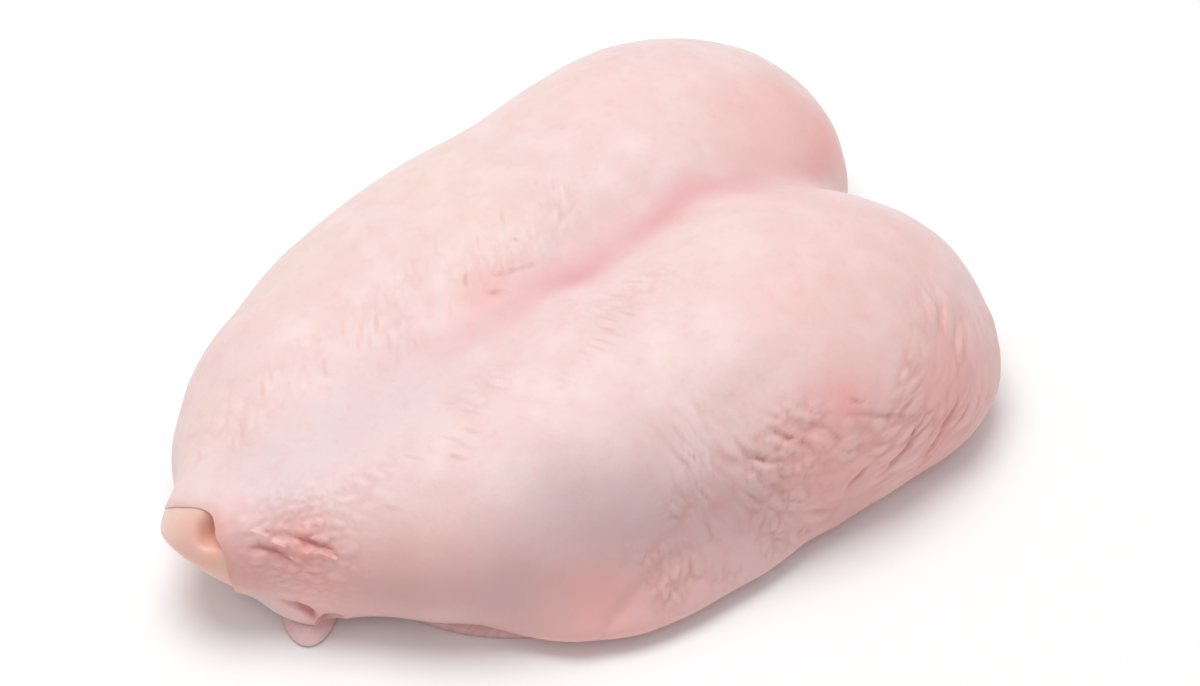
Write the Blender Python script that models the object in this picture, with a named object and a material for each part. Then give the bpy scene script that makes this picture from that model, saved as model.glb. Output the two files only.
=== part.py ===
"""Raw chicken breast: a whole double breast with its skin on, lying skin side up.

X runs along the breastbone from the tail (-X) to the neck (+X), Y across and Z up, in metres.
The origin is on the surface that the breast lies on, under the middle of its outline.

The body is a smooth union of lumps, one for each muscle or fold of skin, so its form comes from
where each lump lies and how long, wide and high it is. Every solid is then cast from its own lumps.
"""

from math import cos, pi, radians, sin, tan

import bmesh
import bpy
import numpy as np
from mathutils import Vector

# How softly neighbouring lumps run into each other
MUSCLE_BLEND = 0.012
MIDLINE_BLEND = 0.008
SKIN_FOLD_BLEND = 0.011
HEM_ROUND = 0.0065

# Each lobe is one long muscle and a thick shoulder at the neck end, mirrored about the breastbone
LOBE_CENTRE = (0.0130, 0.0270, 0.0165)
LOBE_RADII = (0.0845, 0.0400, 0.0300)
LOBE_TURN = 4.5
SHOULDER_CENTRE = (0.0540, 0.0305, 0.0150)
SHOULDER_RADII = (0.0460, 0.0415, 0.0340)
SHOULDER_STAGGER = 0.0070
SHOULDER_DROP = 0.0008
TAIL_CENTRE = (-0.0662, 0.0135, 0.0118)
TAIL_RADII = (0.0165, 0.0170, 0.0180)
TAIL_SHIFT = 0.0030

# The breastbone lifts the skin in the tail half and leaves a valley between the lobes at the neck
KEEL_CENTRE = (-0.0420, -0.0010, 0.0195)
KEEL_RADII = (0.0530, 0.0225, 0.0145)
POINT_CENTRE = (-0.0868, -0.0010, 0.0198)
POINT_RADII = (0.0098, 0.0095, 0.0080)
POINT_BLEND = 0.006

# The muscles meet under the breastbone, so that the underside lies flat
CORE_CENTRE = (-0.0080, 0.0000, 0.0060)
CORE_RADII = (0.0760, 0.0420, 0.0180)
CORE_BLEND = 0.004

# Loose skin and fat that spreads on the table along the near side, at -Y
SIDE_SKIN_CENTRE = (-0.0010, -0.0515, 0.0055)
SIDE_SKIN_RADII = (0.0405, 0.0205, 0.0090)
SIDE_SKIN_TURN = 0.5
WING_SKIN_CENTRE = (0.0695, -0.0510, 0.0125)
WING_SKIN_RADII = (0.0210, 0.0175, 0.0120)

# The skin rolls under at the near corner of the tail, which leaves a gap above the table
ROLL_GAP_CENTRE = (-0.0820, -0.0275, 0.0010)
ROLL_GAP_RADII = (0.0130, 0.0080, 0.0070)
ROLL_GAP_TURN = -62.0
ROLL_GAP_BLEND = 0.0045

# Folds of the skin as paths along its surface, where the skin is gathered at the tail and the shoulder
FOLD_DEPTH = 0.0009
FOLD_WIDTH = 0.0030
FOLDS = (
    ((-0.084, -0.010, 0.028), (-0.082, -0.016, 0.027), (-0.078, -0.021, 0.026), (-0.072, -0.027, 0.0255)),
    ((-0.084, -0.020, 0.0135), (-0.080, -0.025, 0.0120), (-0.076, -0.029, 0.0105)),
    ((-0.030, -0.066, 0.0065), (-0.0265, -0.065, 0.0105), (-0.0215, -0.065, 0.013), (-0.016, -0.065, 0.016)),
    ((0.0117, -0.0594, 0.0348), (0.0144, -0.0631, 0.0312), (0.0196, -0.0661, 0.0283)),
    ((0.0186, -0.0604, 0.0357), (0.0223, -0.0642, 0.0322), (0.0273, -0.0675, 0.0290)),
    ((0.0327, -0.0718, 0.0162), (0.0355, -0.0720, 0.0187), (0.0396, -0.0720, 0.0212)),
    ((0.0419, -0.0727, 0.0162), (0.0453, -0.0727, 0.0181), (0.0511, -0.0721, 0.0200)),
    ((0.0557, -0.0714, 0.0078), (0.0577, -0.0722, 0.0141), (0.0594, -0.0712, 0.0202), (0.0658, -0.0690, 0.0233)),
)

# Bare flesh of the rib side, which fills the underside and shows under the hem of the skin
FLESH_INSET = 0.0075
FLESH_LEVELS = (0.0, 0.0016, 0.0032, 0.0048, 0.0062)
FLESH_BLEND = 0.0030
TONGUE_CENTRE = (-0.0697, -0.0164, 0.0010)
TONGUE_RADII = (0.0145, 0.0070, 0.0040)
TONGUE_TURN = 55.0
LEDGE_CENTRE = (-0.0383, -0.0356, 0.0006)
LEDGE_RADII = (0.0260, 0.0140, 0.0042)
LEDGE_TURN = -47.0

# Cartilage and fat at the tail end of the breastbone, bare in a window where the skin stops
WINDOW_CENTRE = (-0.0955, -0.0010, 0.0165)
WINDOW_RADII = (0.0135, 0.0135, 0.0170)
WINDOW_PEAK = (-0.0850, -0.0030, 0.0278)
NEAR_EDGE_FACING = (0.43, -0.70, 0.57)
FAR_EDGE_FACING = (0.42, 0.58, 0.70)
WINDOW_ROUND = 0.0030
SKIN_THICKNESS = 0.0007
TIP_ROUND = 0.0020
DIMPLE_CENTRE = (-0.0900, -0.0055, 0.0270)
DIMPLE_RADII = (0.0050, 0.0038, 0.0042)

# Clearance between neighbouring solids
GAP = 0.0006

# Where each solid's rays start, how the rays are stretched, and how finely each side is divided
BODY_HEART = (0.0, 0.0, 0.020)
BODY_STRETCH = (0.100, 0.072, 0.032)
BODY_CUTS = 59
BODY_TRIANGLES = 6200
FLESH_HEART = (-0.0530, 0.0050)
FLESH_BEARINGS = 132
FLESH_REACH = 0.200
TIP_HEART = (-0.0890, -0.0015, 0.0190)
TIP_STRETCH = (0.008, 0.010, 0.012)
TIP_CUTS = 9
FARTHEST = 4.0
HALVINGS = 26

# Principled colours, as linear red, green and blue
SKIN = {"colour": (0.80, 0.56, 0.53), "roughness": 0.38}
FLESH = {"colour": (0.56, 0.23, 0.22), "roughness": 0.34}
CARTILAGE = {"colour": (0.78, 0.45, 0.34), "roughness": 0.32}


def lump(centre, radii, turn=0.0):
    """A field that is about the distance to an ellipsoid, negative inside it. It is turned about Z, in degrees."""
    centre = np.array(centre)
    radii = np.array(radii)
    cos_turn = cos(radians(turn))
    sin_turn = sin(radians(turn))
    to_own_axes = np.array([[cos_turn, -sin_turn, 0.0], [sin_turn, cos_turn, 0.0], [0.0, 0.0, 1.0]])

    def field(points):
        own = (points - centre) @ to_own_axes
        scaled = np.linalg.norm(own / radii, axis=-1)
        steepness = np.linalg.norm(own / radii**2, axis=-1)
        return scaled * (scaled - 1.0) / np.maximum(steepness, 1e-9)

    return field


def union(blend, *fields):
    """One field of several, with a rounded hollow as wide as blend where they meet."""

    def field(points):
        total = fields[0](points)
        for other in fields[1:]:
            value = other(points)
            share = np.clip(0.5 + 0.5 * (value - total) / blend, 0.0, 1.0)
            total = value + (total - value) * share - blend * share * (1.0 - share)
        return total

    return field


def common(blend, *fields):
    """What lies in every field, with edges rounded by blend."""
    turned = [lambda points, one=one: -one(points) for one in fields]
    joined = union(blend, *turned)
    return lambda points: -joined(points)


def grown(field, by):
    """The same form with its surface moved out, or in where by is negative."""
    return lambda points: field(points) - by


def above_table(points):
    return -points[..., 2]


def behind(point, facing):
    """The half of space behind a plane through the point, which faces that way."""
    facing = np.array(facing) / np.linalg.norm(facing)
    return lambda points: (points - np.array(point)) @ facing


def outside(field):
    return lambda points: -field(points)


def folds(points):
    """How deep the folds sink the skin at each point, rounded across their width."""
    depth = np.zeros(points.shape[:-1])
    for path in FOLDS:
        nearest = np.full(points.shape[:-1], np.inf)
        for start, end in zip(path[:-1], path[1:]):
            start = np.array(start)
            along = np.array(end) - start
            reached = np.clip((points - start) @ along / (along @ along), 0.0, 1.0)
            apart = np.linalg.norm(points - start - reached[..., None] * along, axis=-1)
            nearest = np.minimum(nearest, apart)
        depth = np.maximum(depth, FOLD_DEPTH * np.exp(-((nearest / FOLD_WIDTH) ** 2)))
    return depth


def lobe(side):
    """One half of the breast. Side is -1 for the near half and +1 for the far one."""
    x, y, z = SHOULDER_CENTRE
    shoulder = lump((x + side * SHOULDER_STAGGER, side * y, z - side * SHOULDER_DROP), SHOULDER_RADII)
    x, y, z = LOBE_CENTRE
    muscle = lump((x, side * y, z), LOBE_RADII, side * LOBE_TURN)
    x, y, z = TAIL_CENTRE
    tail = lump((x, TAIL_SHIFT + side * y, z), TAIL_RADII)
    return union(MUSCLE_BLEND, muscle, shoulder, tail)


def breast_form():
    """The whole breast in its skin, before it is flattened where it lies on the table."""
    lobes = union(MIDLINE_BLEND, lobe(-1), lobe(+1))
    with_keel = union(MUSCLE_BLEND, lobes, lump(KEEL_CENTRE, KEEL_RADII))
    filled = union(CORE_BLEND, with_keel, lump(CORE_CENTRE, CORE_RADII))
    side_skin = lump(SIDE_SKIN_CENTRE, SIDE_SKIN_RADII, SIDE_SKIN_TURN)
    wing_skin = lump(WING_SKIN_CENTRE, WING_SKIN_RADII)
    draped = union(SKIN_FOLD_BLEND, filled, side_skin, wing_skin)
    pointed = union(POINT_BLEND, draped, lump(POINT_CENTRE, POINT_RADII))
    roll_gap = lump(ROLL_GAP_CENTRE, ROLL_GAP_RADII, ROLL_GAP_TURN)
    return common(ROLL_GAP_BLEND, pointed, outside(roll_gap))


def flesh_field(form):
    """What lies well inside the hem, with the tongue and the ledge that show beyond it."""
    tongue = lump(TONGUE_CENTRE, TONGUE_RADII, TONGUE_TURN)
    ledge = lump(LEDGE_CENTRE, LEDGE_RADII, LEDGE_TURN)
    return union(FLESH_BLEND, grown(form, -FLESH_INSET), tongue, ledge)


def window_field():
    """The opening in the skin at the tail, which comes to a peak where the ridge ends."""
    near_edge = behind(WINDOW_PEAK, NEAR_EDGE_FACING)
    far_edge = behind(WINDOW_PEAK, FAR_EDGE_FACING)
    return common(WINDOW_ROUND, lump(WINDOW_CENTRE, WINDOW_RADII), near_edge, far_edge)


def tip_field(form, window):
    """The cartilage inside the window, set back by the skin's thickness and dimpled beside the ridge."""
    dimple = lump(DIMPLE_CENTRE, DIMPLE_RADII)
    return common(TIP_ROUND, grown(form, -SKIN_THICKNESS), window, outside(dimple))


def surface_points(field, heart, rays, farthest):
    """Where rays from heart leave the field, each found by halving the stretch that holds its surface."""
    near = np.zeros(len(rays))
    far = np.full(len(rays), farthest)
    for _ in range(HALVINGS):
        middle = (near + far) / 2
        inside = field(heart + rays * middle[:, None]) < 0
        near = np.where(inside, middle, near)
        far = np.where(inside, far, middle)
    return heart + rays * near[:, None]


def cast(name, field, heart, stretch, cuts):
    """A mesh of the field's surface, found along rays from heart through the points of a divided cube."""
    grid = bmesh.new()
    bmesh.ops.create_cube(grid, size=2.0)
    bmesh.ops.subdivide_edges(grid, edges=grid.edges[:], cuts=cuts, use_grid_fill=True)
    bmesh.ops.triangulate(grid, faces=grid.faces[:], quad_method="FIXED")
    rays = np.array([[tan(c * pi / 4) for c in v.co] for v in grid.verts])
    rays *= np.array(stretch) / np.linalg.norm(rays, axis=1, keepdims=True)
    points = surface_points(field, np.array(heart), rays, FARTHEST)
    for vertex, point in zip(grid.verts, points):
        vertex.co = Vector(point)
    bmesh.ops.recalc_face_normals(grid, faces=grid.faces[:])
    mesh = bpy.data.meshes.new(name)
    grid.to_mesh(mesh)
    grid.free()
    return mesh


def stack(name, field, heart, levels, margin=0.0):
    """A mesh of a low slab, from its outline at each level. Its flat faces lie a margin beyond the end levels."""
    bearings = np.arange(FLESH_BEARINGS) * 2 * pi / FLESH_BEARINGS
    rays = np.stack([np.cos(bearings), np.sin(bearings), np.zeros(FLESH_BEARINGS)], axis=1)
    points = [surface_points(field, np.array([*heart, level]), rays, FLESH_REACH) for level in levels]
    points[0][:, 2] -= margin
    points[-1][:, 2] += margin
    grid = bmesh.new()
    rings = [[grid.verts.new(point) for point in ring] for ring in points]
    for lower, upper in zip(rings[:-1], rings[1:]):
        for here, there in zip(range(FLESH_BEARINGS), [*range(1, FLESH_BEARINGS), 0]):
            grid.faces.new((lower[here], lower[there], upper[there]))
            grid.faces.new((lower[here], upper[there], upper[here]))
    for ring in (rings[0][::-1], rings[-1]):
        hub = grid.verts.new((*heart, ring[0].co.z))
        for here, there in zip(ring, [*ring[1:], ring[0]]):
            grid.faces.new((hub, here, there))
    bmesh.ops.recalc_face_normals(grid, faces=grid.faces[:])
    mesh = bpy.data.meshes.new(name)
    grid.to_mesh(mesh)
    grid.free()
    return mesh


def material(name, look):
    made = bpy.data.materials.new(name)
    made.use_nodes = True
    shader = made.node_tree.nodes["Principled BSDF"]
    shader.inputs["Base Color"].default_value = (*look["colour"], 1.0)
    shader.inputs["Roughness"].default_value = look["roughness"]
    shader.inputs["Metallic"].default_value = 0.0
    return made


def solid(name, mesh, look):
    """A named object with its finish, shaded smooth."""
    made = bpy.data.objects.new(name, mesh)
    bpy.context.scene.collection.objects.link(made)
    mesh.materials.append(material(name, look))
    mesh.shade_smooth()
    return made


def cutter(name, mesh):
    made = bpy.data.objects.new(name, mesh)
    bpy.context.scene.collection.objects.link(made)
    made.hide_render = True
    made.display_type = "WIRE"
    return made


def thin_out(body, triangles):
    """Drops points where the skin is nearly flat, down to that many triangles."""
    modifier = body.modifiers.new("thin_out", "DECIMATE")
    modifier.ratio = triangles / len(body.data.polygons)
    modifier.use_collapse_triangulate = True


def cut_recess(body, tool):
    modifier = body.modifiers.new("recess_" + tool.name, "BOOLEAN")
    modifier.operation = "DIFFERENCE"
    modifier.object = tool


def centre_on_outline(solids, cutters):
    """Moves the meshes so that the origin is on the table under the middle of the solids' outline."""
    corners = np.array([v.co for one in solids for v in one.data.vertices])
    low = corners.min(axis=0)
    high = corners.max(axis=0)
    middle = (low + high) / 2
    for one in [*solids, *cutters]:
        for vertex in one.data.vertices:
            vertex.co -= Vector((middle[0], middle[1], low[2]))


def main():
    for old in list(bpy.data.objects):
        bpy.data.objects.remove(old)

    form = breast_form()
    body = common(HEM_ROUND, lambda points: form(points) + folds(points), above_table)
    flesh = flesh_field(form)
    window = window_field()
    tip = tip_field(form, window)

    breast = solid("breast", cast("breast", body, BODY_HEART, BODY_STRETCH, BODY_CUTS), SKIN)
    rib_flesh = solid("rib_flesh", stack("rib_flesh", flesh, FLESH_HEART, FLESH_LEVELS), FLESH)
    keel_tip = solid("keel_tip", cast("keel_tip", tip, TIP_HEART, TIP_STRETCH, TIP_CUTS), CARTILAGE)

    flesh_room = stack("flesh_room", grown(flesh, GAP), FLESH_HEART, FLESH_LEVELS, GAP)
    tip_room = cast("tip_room", grown(window, GAP), TIP_HEART, TIP_STRETCH, TIP_CUTS)
    cutters = [cutter("flesh_room", flesh_room), cutter("tip_room", tip_room)]

    thin_out(breast, BODY_TRIANGLES)
    for tool in cutters:
        cut_recess(breast, tool)

    centre_on_outline([breast, rib_flesh, keel_tip], cutters)


main()
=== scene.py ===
# %% [markdown]
# # A raw chicken breast
# This lesson dresses the plain solids of a whole double chicken breast, lying skin side up.
# The real thing is soft muscle under a thin, moist skin, so nothing on it is straight or flat: the form
# comes first, then the wrinkles of the skin, and last the colours under it.
# The solids are already built and measured. Here they are loaded as a fixed frame, and every piece of the
# lesson takes the place of one of them.

# %% Load the solids
from itertools import product
from math import cos, pi, radians, sin

import bmesh
import bpy
import numpy as np
from mathutils import Matrix, Vector


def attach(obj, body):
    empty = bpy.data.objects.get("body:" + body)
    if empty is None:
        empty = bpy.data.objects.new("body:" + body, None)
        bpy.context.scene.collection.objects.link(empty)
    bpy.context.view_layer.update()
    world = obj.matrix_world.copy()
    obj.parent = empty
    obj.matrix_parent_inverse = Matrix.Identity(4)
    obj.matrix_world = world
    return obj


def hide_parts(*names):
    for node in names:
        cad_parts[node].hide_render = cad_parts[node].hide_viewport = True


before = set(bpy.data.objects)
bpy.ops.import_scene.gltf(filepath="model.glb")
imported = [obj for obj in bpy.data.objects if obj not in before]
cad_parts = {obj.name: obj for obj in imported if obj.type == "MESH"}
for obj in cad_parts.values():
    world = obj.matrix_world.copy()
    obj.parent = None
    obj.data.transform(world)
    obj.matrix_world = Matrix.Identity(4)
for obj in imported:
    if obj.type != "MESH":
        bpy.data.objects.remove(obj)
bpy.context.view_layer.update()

# %% [markdown]
# The breast is about 204 mm long, and its finest wrinkles are half a millimetre wide, so millimetres are
# the handy unit. Its forms are laid out from a point under the middle of the breastbone. The solids were
# centred on their outline afterwards, so each finished mesh moves by the same small step.

# %% Millimetres to the frame's metres
MM = 0.001
CENTRING = np.array((-4.86013, 0.14586, 0.0))
TINY = 1e-9


def to_frame(points):
    return (points + CENTRING) * MM


def smooth_step(low, high, values):
    """0 below low, 1 above high, and a soft rise between them."""
    part = np.clip((values - low) / (high - low), 0.0, 1.0)
    return part * part * (3 - 2 * part)


def band(values, start, full, fading, gone):
    """1 from full to fading, with a soft rise from start and a soft fall to gone."""
    return smooth_step(start, full, values) * (1 - smooth_step(fading, gone, values))


# %% [markdown]
# Muscles are rounded lumps that run into each other without an edge. A field says how far each point of
# space is from a lump's surface, below zero inside it, and a smooth union of fields fills the corner where
# two lumps meet. Sculpting by hand could give the same form, but with fields each muscle keeps its own
# place and size, and any fineness of mesh can be drawn from them.


# %% Lumps and how they join
def lump(centre, radii, turn=0.0):
    """A field of an ellipsoid, turned about Z in degrees."""
    centre = np.array(centre, float)
    radii = np.array(radii, float)
    to_own_axes = np.array(
        [[cos(radians(turn)), -sin(radians(turn)), 0], [sin(radians(turn)), cos(radians(turn)), 0], [0, 0, 1]]
    )

    def field(points):
        own = (points - centre) @ to_own_axes / radii
        scaled = np.sqrt(np.einsum("ij,ij->i", own, own))
        own /= radii
        steepness = np.sqrt(np.einsum("ij,ij->i", own, own))
        return scaled * (scaled - 1.0) / np.maximum(steepness, TINY)

    return field


def union(blend, *fields):
    """One field of several, with a rounded hollow as wide as blend where they meet."""

    def field(points):
        total = fields[0](points)
        for other in fields[1:]:
            value = other(points)
            share = np.clip(0.5 + 0.5 * (value - total) / blend, 0.0, 1.0)
            total = value + (total - value) * share - blend * share * (1.0 - share)
        return total

    return field


def outside(field):
    return lambda points: -field(points)


def common(blend, *fields):
    """What lies in every field, with edges rounded by blend."""
    return outside(union(blend, *[outside(one) for one in fields]))


def grown(field, by):
    return lambda points: field(points) - by


def above_table(points):
    return -points[:, 2]


def behind(point, facing):
    """The half of space behind a plane through the point, which faces that way."""
    facing = np.array(facing) / np.linalg.norm(facing)
    return lambda points: (points - np.array(point)) @ facing


# %% [markdown]
# Each half of the breast is one long muscle that tapers to the tail, with a thick shoulder at the neck end
# and a small lump where it ends. The two halves nearly mirror each other about the breastbone, which lifts
# the skin into a ridge near the tail and leaves a valley towards the neck. Along the near side loose skin
# and fat spread on the table, with a waist in the hem. At the near corner of the tail the skin rolls under:
# a gap is taken out there, and a lip and a small hollow give it its edge.


# %% The muscles
def lobe(side):
    """One half of the breast. Side is -1 for the near half and +1 for the far one."""
    shoulder = lump((54.0 + 7.0 * side, 30.5 * side, 15.0 - 0.8 * side), (46.0, 41.5, 34.0))
    muscle = lump((13.0, 27.0 * side, 16.5), (84.5, 40.0, 30.0), 4.5 * side)
    tail = lump((-66.2, 3.0 + 13.5 * side, 11.8), (16.5, 17.0, 18.0))
    return union(12.0, muscle, shoulder, tail)


lobes = union(8.0, lobe(-1), lobe(+1))
keel = lump((-42.0, -1.0, 19.5), (53.0, 22.5, 14.5))
core = lump((-8.0, 0.0, 6.0), (76.0, 42.0, 18.0))
muscles = union(4.0, union(12.0, lobes, keel), core)

# %% The loose skin and the tail end
side_skin = lump((-1.0, -51.5, 5.5), (40.5, 20.5, 9.0), 0.5)
wing_skin = lump((69.5, -51.0, 12.5), (21.0, 17.5, 12.0))
tail_point = lump((-84.6, -2.0, 19.0), (9.0, 9.0, 7.8))
far_flank = lump((-51.0, 28.0, 20.0), (15.5, 12.0, 15.0))
roll_gap = lump((-82.0, -27.5, 1.0), (13.0, 8.0, 7.0), -62.0)
roll_lip = lump((-75.9, -20.4, 5.4), (8.3, 3.7, 4.4), -55.0)
roll_hollow = lump((-73.4, -27.2, 5.2), (2.7, 2.6, 3.0))
waist = lump((32.5, -85.0, 6.0), (14.0, 11.5, 13.0))
pointed = union(11.0, union(11.0, muscles, side_skin, wing_skin), far_flank, tail_point)
rolled = union(3.0, common(4.5, pointed, outside(roll_gap)), roll_lip)
breast_form = common(1.0, common(7.0, rolled, outside(waist)), outside(roll_hollow))
skin_field = common(6.5, breast_form, above_table)

# %% [markdown]
# Some details are traced from the photograph. It was taken from the tail's near side, looking down at about
# 45 degrees, and from so far away that the breast is drawn almost without perspective. A place on the photo
# is a ray from that camera, and what it shows is where the ray first meets the form. So a fold is written
# as places on the photo, in pixels from its top left corner, and the form gives them their depth.

# %% From a place on the photo to the skin
PHOTO_WIDTH = 1200
PHOTO_HEIGHT = 686
FOCAL_PIXELS = 3252.5
AIM = np.array((12.92, -8.40, 23.75))
AZIMUTH = radians(-36.65)
ELEVATION = radians(44.54)
ROLL = radians(-0.2)
DISTANCE = 734.2
RAY_START = 550.0
RAY_STEPS = 60
RAY_STEP_SHARE = 0.8

to_camera = np.array((sin(AZIMUTH) * cos(ELEVATION), -cos(AZIMUTH) * cos(ELEVATION), sin(ELEVATION)))
level_right = np.array((cos(AZIMUTH), sin(AZIMUTH), 0.0))
level_up = np.cross(to_camera, level_right)
camera_right = level_right * cos(ROLL) + level_up * sin(ROLL)
camera_up = level_up * cos(ROLL) - level_right * sin(ROLL)
eye = AIM + to_camera * DISTANCE


def on_skin(places):
    """The points of the skin that show at these places on the photo, found in steps along each ray."""
    places = np.array(places, float)
    across = (places[:, :1] - PHOTO_WIDTH / 2) / FOCAL_PIXELS
    down = (places[:, 1:] - PHOTO_HEIGHT / 2) / FOCAL_PIXELS
    rays = camera_right * across - camera_up * down - to_camera
    rays /= np.linalg.norm(rays, axis=1, keepdims=True)
    reached = np.full(len(places), RAY_START)
    for _ in range(RAY_STEPS):
        reached += RAY_STEP_SHARE * skin_field(eye + rays * reached[:, None])
    return eye + rays * reached[:, None]


def traced(*lines):
    """Lines with a depth and a width in millimetres, and a path of places on the photo laid on the skin."""
    return [(depth, width, on_skin(path)) for depth, width, path in lines]


# %% [markdown]
# Skin wrinkles are neither regular nor random: they follow the pull of the skin, but break up along their
# length. Noise gives the breaking up. This one hangs a fixed random value on each corner of a lattice and
# blends between them, so it comes out the same every time the lesson runs.


# %% Noise and cells
CORNER_FACTORS = (73856093, 19349663, 83492791)
SEED_FACTOR = 265443576
STIR_FACTOR = 1274126177
LOW_31_BITS = 0x7FFFFFFF
LOW_16_BITS = 0xFFFF


def corner_values(corners, seed):
    """A fixed random number from 0 to 1 for each lattice corner, stirred from its place by large factors."""
    x, y, z = (corners[:, axis].astype(np.int64) * factor for axis, factor in enumerate(CORNER_FACTORS))
    mixed = x ^ y ^ z ^ (seed * SEED_FACTOR)
    mixed = (mixed ^ (mixed >> 13)) * STIR_FACTOR & LOW_31_BITS
    return ((mixed ^ (mixed >> 15)) & LOW_16_BITS) / LOW_16_BITS


def noise(points, size, seed):
    """Smooth values from -1 to 1, in patches of about that size."""
    scaled = points / size
    cell = np.floor(scaled)
    part = scaled - cell
    ease = part * part * (3 - 2 * part)
    total = np.zeros(len(points))
    for corner in product((0, 1), repeat=3):
        weight = np.prod(np.where(corner, ease, 1 - ease), axis=1)
        total += weight * corner_values(cell + corner, seed)
    return 2 * total - 1


def cell_edges(points, size, seed):
    """The distance from the nearest border between irregular cells, in cells."""
    scaled = points / size
    home = np.floor(scaled)
    nearest = np.full(len(points), 9.0)
    second = np.full(len(points), 9.0)
    for step in product((-1, 0, 1), repeat=3):
        cell = home + step
        jitter = np.stack([corner_values(cell, seed + axis) for axis in range(3)], axis=1)
        apart = np.linalg.norm(cell + jitter - scaled, axis=1)
        second = np.minimum(second, np.maximum(nearest, apart))
        nearest = np.minimum(nearest, apart)
    return second - nearest


def near_path(points, path):
    """The distance to a line through the path's points."""
    nearest = np.full(len(points), np.inf)
    for start, end in zip(path[:-1], path[1:]):
        start = np.array(start)
        along = np.array(end) - start
        reached = np.clip((points - start) @ along / (along @ along), 0.0, 1.0)
        apart = np.linalg.norm(points - start - reached[:, None] * along, axis=1)
        nearest = np.minimum(nearest, apart)
    return nearest


def near_spot(points, spot, spread):
    """1 at the spot, fading to nothing over about twice the spread."""
    return np.exp(-(np.sum((points - np.array(spot)) ** 2, axis=1)) / spread**2)


# %% [markdown]
# Where the wing was cut off, the skin has gone slack and gathers into small wrinkles that run round the
# shoulder like ripples round a stone. Seen close, most are leaf-shaped ridges with narrow valleys between
# them, which irregular cells give when they are stretched one way. Others are winding creases, which lie
# where noise passes through zero. The two are mixed where the skin is slackest, and the coordinates that
# they are given decide which way the wrinkles run and how wide they are.

# %% Wrinkles of slack skin
SHOULDER_TOP = np.array((43.4, -53.0, 44.8))
RIPPLE_SPACING = 2.7
RIPPLES_PER_RADIAN = 3.0
RIPPLE_HEIGHT = 0.75
RIPPLE_RING = (14.0, 21.0, 40.0, 60.0)
CELL_SIZE = np.array((3.0, 3.0, 4.2))
CELL_HEIGHT = 0.66
CELL_STRETCH = (-30.0, -14.0, 24.0, 44.0)
TAIL_GATHER = (-76.0, -21.0, 25.5)
TAIL_PULL = np.array((0.55, -0.80, -0.22))
GATHER_LENGTH = 4.6
GATHER_WIDTH = 1.4
GATHER_DEPTH = 1.7
GATHER_HEIGHT = 0.62


def leaves(coordinates, seed, valley=0.55):
    """Rounded ridges, from 0 in the valleys between cells to 1 on the crests."""
    return smooth_step(0.0, valley, cell_edges(coordinates, 1.0, seed))


def creases(coordinates, seed):
    """Winding valleys at 0 with rounded ground between them, up to 1."""
    return smooth_step(0.0, 0.5, np.abs(noise(coordinates, 1.0, seed)))


def ripples(points):
    """How far the skin stands up or sinks round the near shoulder."""
    apart = points - SHOULDER_TOP
    away = np.linalg.norm(apart, axis=1)
    bearing = np.arctan2(apart[:, 0], -apart[:, 2])
    wander = 0.5 * noise(points, 9.0, 3) + 0.22 * noise(points, 3.4, 4)
    rings = away / RIPPLE_SPACING + wander
    around = np.stack([rings, bearing * RIPPLES_PER_RADIAN, points[:, 1] / 25.0], axis=1)
    ridges = 0.65 * leaves(around, 11, 0.4) + 0.35 * creases(around * 1.3, 17)
    ring = band(away, *RIPPLE_RING)
    side = smooth_step(-44.0, -58.0, points[:, 1]) * smooth_step(3.0, 12.0, points[:, 2])
    patches = 0.30 + 0.70 * smooth_step(-0.45, 0.30, noise(points, 9.0, 5))
    return RIPPLE_HEIGHT * (ridges - 0.6) * ring * side * patches


def cells(points):
    """Flatter cells of loose skin, low on the near side."""
    wander = np.stack([noise(points, 5.0, seed) for seed in (61, 62, 63)], axis=1)
    net = points / CELL_SIZE + 0.5 * wander
    ridges = 0.6 * leaves(net, 12, 0.35) + 0.4 * creases(net * 1.2, 18)
    low_side = smooth_step(-57.0, -64.0, points[:, 1]) * smooth_step(4.0, 10.0, points[:, 2])
    stretch = band(points[:, 0], *CELL_STRETCH)
    patches = smooth_step(-0.4, 0.5, noise(points, 7.0, 7))
    return CELL_HEIGHT * (ridges - 0.7) * low_side * stretch * patches


def gathers(points):
    """Small folds that run along the pull of the skin at the tail."""
    across = np.cross(TAIL_PULL, (0.0, 0.0, 1.0))
    own = [points @ TAIL_PULL / GATHER_LENGTH, points @ across / GATHER_WIDTH, points[:, 2] / GATHER_DEPTH]
    own = np.stack(own, axis=1)
    ridges = leaves(own + 0.3 * noise(points, 4.0, 14)[:, None], 13)
    return GATHER_HEIGHT * (ridges - 0.6) * near_spot(points, TAIL_GATHER, 12.0)


# %% [markdown]
# Feathers grew in one band on each half. Where each was plucked, the skin is left with a short raised dash
# that slants away from the breastbone.

# %% Where the feathers grew
DASH_SLANT = (0.45, 0.89)
DASH_LENGTH = 6.5
DASH_WIDTH = 2.5
DASH_HEIGHT = 0.30
TRACT_EDGE = (3.0, 13.0)
FAR_TRACT = (
    (16.0, 17.0, 45.0), (-10.0, 13.0, 44.0), (-35.0, 10.0, 39.0), (-55.0, 11.0, 35.0), (-76.0, 12.0, 31.0)
)
NEAR_TRACT = (
    (22.0, -22.0, 48.0), (0.0, -21.0, 46.0), (-30.0, -24.0, 42.0), (-52.0, -26.0, 36.0), (-66.0, -22.0, 31.0)
)


def feathered(points):
    """1 in the two bands where feathers grew, fading out beside them."""
    tract = np.minimum(near_path(points, NEAR_TRACT), near_path(points, FAR_TRACT))
    return 1 - smooth_step(*TRACT_EDGE, tract)


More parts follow.
